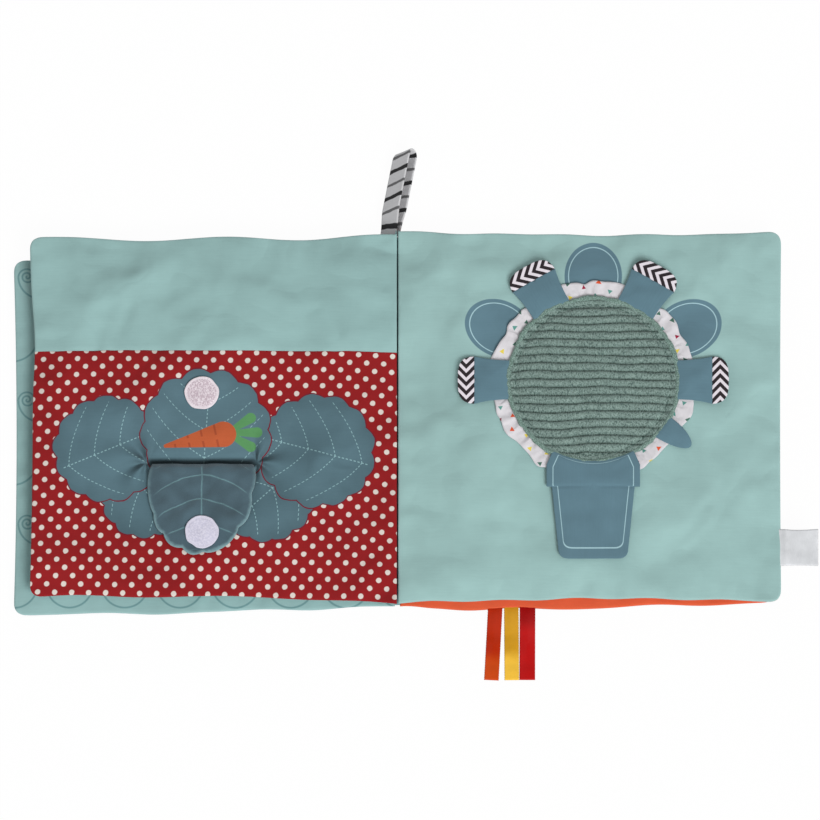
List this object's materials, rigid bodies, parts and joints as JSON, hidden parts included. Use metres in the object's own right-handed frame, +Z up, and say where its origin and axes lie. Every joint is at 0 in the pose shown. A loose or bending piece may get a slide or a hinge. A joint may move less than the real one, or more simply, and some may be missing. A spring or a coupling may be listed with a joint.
{
  "type": "crinkle cloth book",
  "caption": "Open square cloth book for a baby, with padded crinkly leaves, lift flaps, loose petals, ribbons, a label and a striped hanging loop.",
  "frame": {"origin": "on the table under the middle of the open book's spine, on the flat underside of the spine cloth", "axes": "+X across the right page, +Y up the page, +Z up from the table"},
  "size_m": [0.3779, 0.2572, 0.0218],
  "materials": {
    "teal_cloth": "smooth printed polyester",
    "cover_inner_cloth": "smooth polyester printed with curls",
    "cover_outer_cloth": "smooth polyester with a small print",
    "orange_cloth": "smooth polyester",
    "dotted_cloth": "polyester with white polka dots",
    "slate_cloth": "smooth printed polyester",
    "slate_velour": "short-pile velour",
    "chevron_cloth": "knitted chevrons in black and white",
    "corduroy": "wide-wale corduroy",
    "ruffle_cloth": "white cotton with tiny triangles",
    "batting": "polyester batting",
    "crinkle_film": "thin crackling film",
    "loop_tape": "soft loop tape",
    "hook_tape": "hook tape",
    "ribbon_orange": "satin",
    "ribbon_yellow": "satin",
    "ribbon_red": "satin",
    "striped_cloth": "knit with black stripes",
    "label_satin": "white satin, bare",
    "spine_cloth": "smooth polyester"
  },
  "bodies": {
    "back_cover": {"back_cover_outer_cloth": "cover_outer_cloth", "back_cover_inner_cloth": "orange_cloth", "back_cover_batting": "batting", "back_cover_crinkle_film": "crinkle_film", "spine_panel": "spine_cloth", "spine_binding": "spine_cloth"},
    "front_cover": {"front_cover_outer_cloth": "cover_outer_cloth", "front_cover_inner_cloth": "cover_inner_cloth", "front_cover_batting": "batting", "front_cover_crinkle_film": "crinkle_film"},
    "leaf_1": {"leaf1_back_cloth": "cover_inner_cloth", "leaf1_dotted_cloth": "dotted_cloth", "leaf1_sky_cloth": "teal_cloth", "leaf1_batting": "batting", "leaf1_crinkle_film": "crinkle_film", "loop_coin": "loop_tape"},
    "leaf_2": {"leaf2_back_cloth": "orange_cloth", "leaf2_front_cloth": "teal_cloth", "leaf2_batting": "batting", "leaf2_crinkle_film": "crinkle_film", "disc_padding": "batting", "corduroy_disc": "corduroy", "ruffle": "ruffle_cloth"},
    "garden_flap": {"garden_flap_lining": "slate_cloth", "garden_flap_face": "slate_velour", "hook_coin": "hook_tape"},
    "petal_1": {"petal_1": "slate_cloth", "petal_tip_1": "chevron_cloth"},
    "petal_2": {"petal_2": "slate_cloth", "petal_tip_2": "chevron_cloth"},
    "petal_3": {"petal_3": "slate_cloth", "petal_tip_3": "chevron_cloth"},
    "petal_4": {"petal_4": "slate_cloth", "petal_tip_4": "chevron_cloth"},
    "leaf_tab": {"leaf_tab": "slate_cloth"},
    "pot_flap": {"pot_flap_lining": "slate_cloth", "pot_flap_face": "slate_cloth"},
    "label": {"label": "label_satin"},
    "ribbon_orange": {"ribbon_orange": "ribbon_orange"},
    "ribbon_yellow": {"ribbon_yellow": "ribbon_yellow"},
    "ribbon_red": {"ribbon_red": "ribbon_red"},
    "striped_loop": {"striped_loop": "striped_cloth"}
  },
  "joints": [
    {"name": "front_cover_turn", "type": "hinge", "parent": "back_cover", "child": "front_cover", "pos_m": [0, 0, 0.0225], "axis": [0, 1, 0], "range_deg": [0, 180]},
    {"name": "leaf_1_turn", "type": "hinge", "parent": "front_cover", "child": "leaf_1", "pos_m": [0, 0, 0.0225], "axis": [0, 1, 0], "range_deg": [0, 180]},
    {"name": "leaf_2_turn", "type": "hinge", "parent": "back_cover", "child": "leaf_2", "pos_m": [0, 0, 0.0225], "axis": [0, -1, 0], "range_deg": [0, 180]},
    {"name": "garden_flap_fold", "type": "hinge", "parent": "leaf_1", "child": "garden_flap", "pos_m": [-0.092, -0.024, 0.01995], "axis": [1, 0, 0], "range_deg": [-180, 0]},
    {"name": "petal_1_lift", "type": "hinge", "parent": "leaf_2", "child": "petal_1", "pos_m": [0.133, 0.016, 0.0206], "axis": [0, 1, 0], "range_deg": [-140, 0]},
    {"name": "petal_2_lift", "type": "hinge", "parent": "leaf_2", "child": "petal_2", "pos_m": [0.1125, 0.05151, 0.0206], "axis": [-0.866, 0.5, 0], "range_deg": [-140, 0]},
    {"name": "petal_3_lift", "type": "hinge", "parent": "leaf_2", "child": "petal_3", "pos_m": [0.0715, 0.05151, 0.0206], "axis": [-0.866, -0.5, 0], "range_deg": [-140, 0]},
    {"name": "petal_4_lift", "type": "hinge", "parent": "leaf_2", "child": "petal_4", "pos_m": [0.051, 0.016, 0.0206], "axis": [0, -1, 0], "range_deg": [-140, 0]},
    {"name": "leaf_tab_lift", "type": "hinge", "parent": "leaf_2", "child": "leaf_tab", "pos_m": [0.12559, -0.00752, 0.0206], "axis": [0.5736, 0.8192, 0], "range_deg": [-140, 0]},
    {"name": "pot_flap_lift", "type": "hinge", "parent": "leaf_2", "child": "pot_flap", "pos_m": [0.092, -0.025, 0.0209], "axis": [1, 0, 0], "range_deg": [-150, 0]},
    {"name": "label_lift", "type": "hinge", "parent": "leaf_2", "child": "label", "pos_m": [0.17965, -0.0639, 0.014], "axis": [0, 1, 0], "range_deg": [-80, 0]},
    {"name": "ribbon_orange_lift", "type": "hinge", "parent": "back_cover", "child": "ribbon_orange", "pos_m": [0.0456, -0.09128, 0.005], "axis": [0.9986, -0.0523, 0], "range_deg": [-85, 0]},
    {"name": "ribbon_yellow_lift", "type": "hinge", "parent": "back_cover", "child": "ribbon_yellow", "pos_m": [0.0533, -0.09109, 0.005], "axis": [0.9997, 0.0262, 0], "range_deg": [-85, 0]},
    {"name": "ribbon_red_lift", "type": "hinge", "parent": "back_cover", "child": "ribbon_red", "pos_m": [0.061, -0.091, 0.005], "axis": [0.9997, 0.0262, 0], "range_deg": [-85, 0]},
    {"name": "striped_loop_lift", "type": "hinge", "parent": "back_cover", "child": "striped_loop", "pos_m": [-0.0032, 0.09116, 0.01], "axis": [-0.9816, 0.1908, 0], "range_deg": [-80, 0]}
  ]
}
